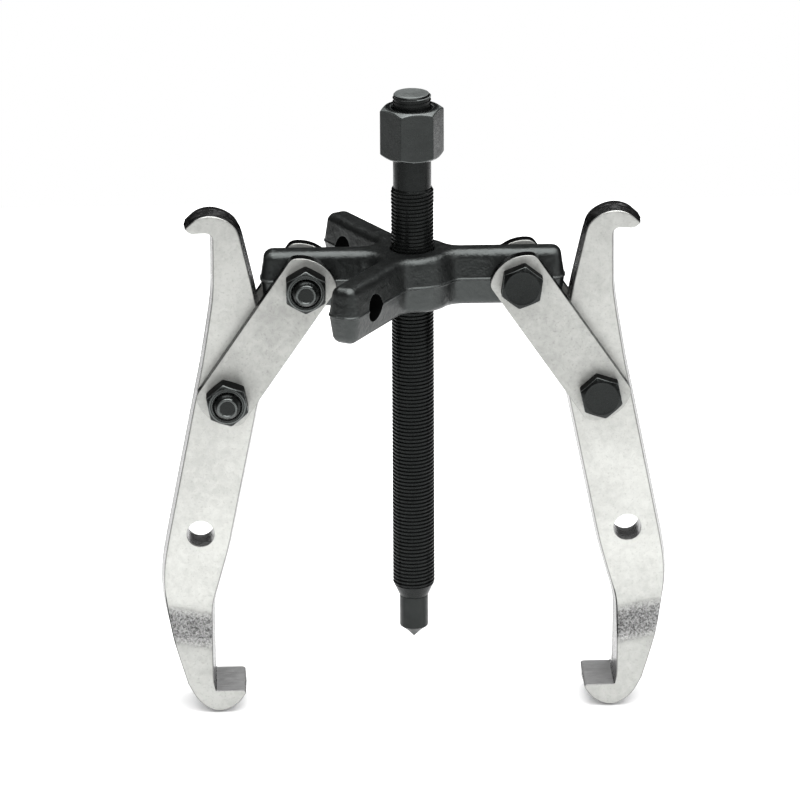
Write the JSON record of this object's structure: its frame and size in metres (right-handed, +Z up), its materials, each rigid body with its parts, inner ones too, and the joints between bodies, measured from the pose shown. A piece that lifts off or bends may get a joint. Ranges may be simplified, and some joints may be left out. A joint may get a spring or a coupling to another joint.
{
  "type": "gear puller",
  "caption": "Reversible two-jaw gear puller: forged four-arm yoke, forcing screw with hex head and pointed tip, and double-ended plated jaws hung on bolted flat links.",
  "frame": {"origin": "on the forcing screw's axis, level with the undersides of the two lower hooks", "axes": "+Z up along the forcing screw, +X from the screw towards the right jaw, -Y towards the front, where the right jaw's bolt heads are"},
  "size_m": [0.1884, 0.101, 0.2373],
  "materials": {
    "black_forging": "satin black coated forging",
    "black_screw": "oiled black oxide thread",
    "black_oxide": "satin black oxide",
    "plated_forging": "bright satin plated forging",
    "plated_link": "bright satin plated bar",
    "bearing_steel": "bright"
  },
  "bodies": {
    "yoke": {"yoke": "black_forging"},
    "screw_tip": {"swivel_tip": "black_oxide", "thrust_ball": "bearing_steel", "tip_retaining_ring": "bearing_steel"},
    "screw": {"forcing_screw": "black_screw", "drive_hex_nut": "black_oxide"},
    "left_links": {"left_front_link": "plated_link", "left_rear_link": "plated_link", "left_upper_bolt": "black_oxide", "left_upper_nut": "black_oxide", "left_lower_bolt": "black_oxide", "left_lower_nut": "black_oxide"},
    "left_jaw": {"left_jaw": "plated_forging"},
    "right_links": {"right_front_link": "plated_link", "right_rear_link": "plated_link", "right_upper_bolt": "black_oxide", "right_upper_nut": "black_oxide", "right_lower_bolt": "black_oxide", "right_lower_nut": "black_oxide"},
    "right_jaw": {"right_jaw": "plated_forging"}
  },
  "joints": [
    {"name": "tip_travel", "type": "slide", "parent": "yoke", "child": "screw_tip", "axis": [0, 0, 1], "range_m": [-0.034, 0.105]},
    {"name": "screw_turn", "type": "hinge", "parent": "screw_tip", "child": "screw", "pos_m": [0, 0, 0.05], "axis": [0, 0, 1], "range_deg": [-8700, 26800]},
    {"name": "left_link_swing", "type": "hinge", "parent": "yoke", "child": "left_links", "pos_m": [-0.0394, 0, 0.16768], "axis": [0, 1, 0], "range_deg": [-9, 50]},
    {"name": "left_jaw_swing", "type": "hinge", "parent": "left_links", "child": "left_jaw", "pos_m": [-0.06863, 0, 0.12467], "axis": [0, 1, 0], "range_deg": [-14, 0.5]},
    {"name": "right_link_swing", "type": "hinge", "parent": "yoke", "child": "right_links", "pos_m": [0.0394, 0, 0.16768], "axis": [0, -1, 0], "range_deg": [-9, 50]},
    {"name": "right_jaw_swing", "type": "hinge", "parent": "right_links", "child": "right_jaw", "pos_m": [0.06863, 0, 0.12467], "axis": [0, -1, 0], "range_deg": [-14, 0.5]}
  ],
  "couplings": [
    {"joint": "screw_turn", "follows": "tip_travel", "rad_per_m": 4452.7}
  ]
}
